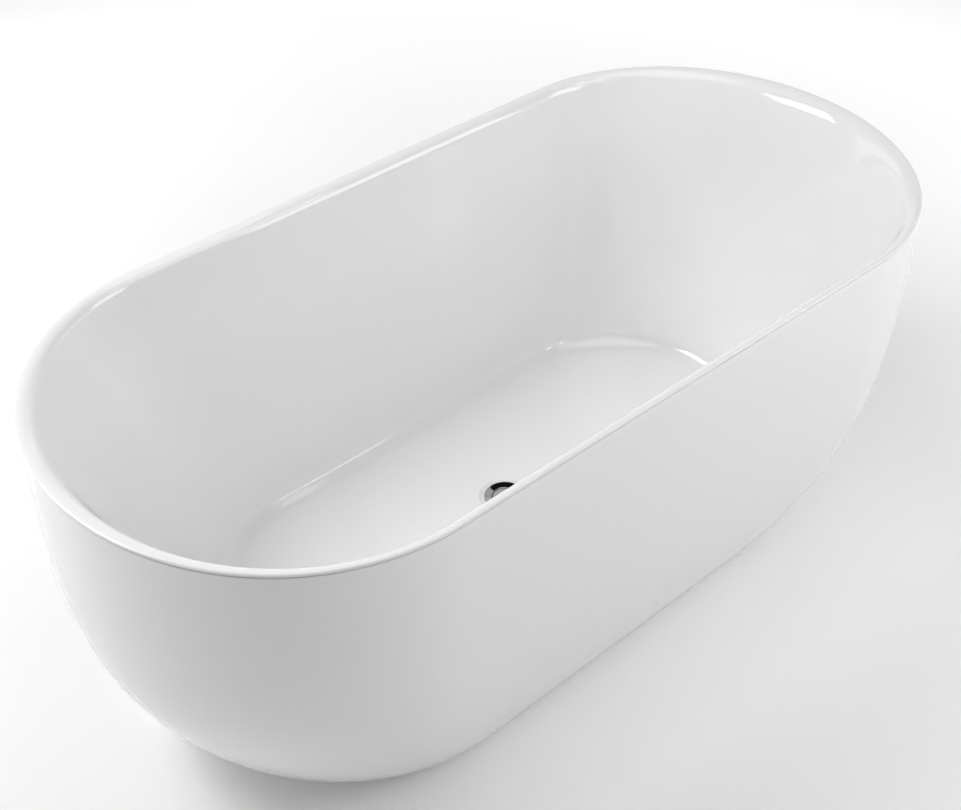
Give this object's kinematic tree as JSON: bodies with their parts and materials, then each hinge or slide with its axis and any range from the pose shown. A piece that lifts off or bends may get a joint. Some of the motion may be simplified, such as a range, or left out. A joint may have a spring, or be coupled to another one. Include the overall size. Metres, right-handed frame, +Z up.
{
  "type": "freestanding bathtub",
  "caption": "Oblong double-ended freestanding bathtub: a sloping acrylic basin bonded into a smooth outer skirt, on screw feet, with a centred push waste.",
  "frame": {"origin": "on the floor under the centre of the waste, which is the centre of the skirt's base", "axes": "+X along the bath, +Z up, +Y across it"},
  "size_m": [1.5, 0.723, 0.58],
  "materials": {
    "white_acrylic": "polished white acrylic",
    "bond": "grey-white bonding paste",
    "board_wood": "particle board",
    "frame_paint": "dark grey powder coat",
    "black_plastic": "moulded",
    "zinc_steel": "bright zinc plate",
    "timber": "sawn softwood",
    "chrome": "polished",
    "white_rubber": "matte",
    "black_rubber": "matte",
    "nylon": "moulded",
    "brass": "turned",
    "stainless": "drawn"
  },
  "bodies": {
    "bath": {"basin_shell": "white_acrylic", "outer_skirt": "white_acrylic", "rim_bond": "bond", "floor_board": "board_wood", "rail_left": "frame_paint", "rail_right": "frame_paint", "crossbar_1": "frame_paint", "crossbar_2": "frame_paint", "crossbar_3": "frame_paint", "crossbar_4": "frame_paint", "rail_end_plugs": "black_plastic", "board_screws": "zinc_steel", "foot_weld_nuts": "frame_paint", "foot_locknuts": "zinc_steel", "skirt_block_1": "timber", "skirt_block_2": "timber", "skirt_block_3": "timber", "skirt_block_4": "timber", "skirt_bracket_1": "zinc_steel", "skirt_bracket_2": "zinc_steel", "skirt_bracket_3": "zinc_steel", "skirt_bracket_4": "zinc_steel", "bracket_screws": "zinc_steel", "block_screws": "zinc_steel", "waste_body": "chrome", "flange_gasket": "white_rubber", "under_gasket": "black_rubber", "slip_washer": "nylon", "waste_backnut": "brass", "push_cartridge": "nylon", "cartridge_spring": "stainless"},
    "plug": {"plug_cap": "chrome", "cap_seal": "black_rubber", "plug_stem": "stainless"},
    "foot_1_pad": {"foot_pad_1": "black_plastic"},
    "foot_1_stud": {"foot_stud_1": "zinc_steel"},
    "foot_2_pad": {"foot_pad_2": "black_plastic"},
    "foot_2_stud": {"foot_stud_2": "zinc_steel"},
    "foot_3_pad": {"foot_pad_3": "black_plastic"},
    "foot_3_stud": {"foot_stud_3": "zinc_steel"},
    "foot_4_pad": {"foot_pad_4": "black_plastic"},
    "foot_4_stud": {"foot_stud_4": "zinc_steel"},
    "foot_5_pad": {"foot_pad_5": "black_plastic"},
    "foot_5_stud": {"foot_stud_5": "zinc_steel"},
    "foot_6_pad": {"foot_pad_6": "black_plastic"},
    "foot_6_stud": {"foot_stud_6": "zinc_steel"}
  },
  "joints": [
    {"name": "plug_lift", "type": "slide", "parent": "bath", "child": "plug", "axis": [0, 0, 1], "range_m": [0, 0.008], "deforming": ["cartridge_spring"]},
    {"name": "foot_1_travel", "type": "slide", "parent": "bath", "child": "foot_1_pad", "axis": [0, 0, 1], "range_m": [-0.01, 0.01]},
    {"name": "foot_1_turn", "type": "hinge", "parent": "foot_1_pad", "child": "foot_1_stud", "pos_m": [-0.4, -0.15, 0.04], "axis": [0, 0, 1], "range_deg": [-2060, 2060]},
    {"name": "foot_2_travel", "type": "slide", "parent": "bath", "child": "foot_2_pad", "axis": [0, 0, 1], "range_m": [-0.01, 0.01]},
    {"name": "foot_2_turn", "type": "hinge", "parent": "foot_2_pad", "child": "foot_2_stud", "pos_m": [0, -0.15, 0.04], "axis": [0, 0, 1], "range_deg": [-2060, 2060]},
    {"name": "foot_3_travel", "type": "slide", "parent": "bath", "child": "foot_3_pad", "axis": [0, 0, 1], "range_m": [-0.01, 0.01]},
    {"name": "foot_3_turn", "type": "hinge", "parent": "foot_3_pad", "child": "foot_3_stud", "pos_m": [0.4, -0.15, 0.04], "axis": [0, 0, 1], "range_deg": [-2060, 2060]},
    {"name": "foot_4_travel", "type": "slide", "parent": "bath", "child": "foot_4_pad", "axis": [0, 0, 1], "range_m": [-0.01, 0.01]},
    {"name": "foot_4_turn", "type": "hinge", "parent": "foot_4_pad", "child": "foot_4_stud", "pos_m": [-0.4, 0.15, 0.04], "axis": [0, 0, 1], "range_deg": [-2060, 2060]},
    {"name": "foot_5_travel", "type": "slide", "parent": "bath", "child": "foot_5_pad", "axis": [0, 0, 1], "range_m": [-0.01, 0.01]},
    {"name": "foot_5_turn", "type": "hinge", "parent": "foot_5_pad", "child": "foot_5_stud", "pos_m": [0, 0.15, 0.04], "axis": [0, 0, 1], "range_deg": [-2060, 2060]},
    {"name": "foot_6_travel", "type": "slide", "parent": "bath", "child": "foot_6_pad", "axis": [0, 0, 1], "range_m": [-0.01, 0.01]},
    {"name": "foot_6_turn", "type": "hinge", "parent": "foot_6_pad", "child": "foot_6_stud", "pos_m": [0.4, 0.15, 0.04], "axis": [0, 0, 1], "range_deg": [-2060, 2060]}
  ],
  "couplings": [
    {"joint": "foot_1_turn", "follows": "foot_1_travel", "rad_per_m": 3590.4},
    {"joint": "foot_2_turn", "follows": "foot_2_travel", "rad_per_m": 3590.4},
    {"joint": "foot_3_turn", "follows": "foot_3_travel", "rad_per_m": 3590.4},
    {"joint": "foot_4_turn", "follows": "foot_4_travel", "rad_per_m": 3590.4},
    {"joint": "foot_5_turn", "follows": "foot_5_travel", "rad_per_m": 3590.4},
    {"joint": "foot_6_turn", "follows": "foot_6_travel", "rad_per_m": 3590.4}
  ]
}
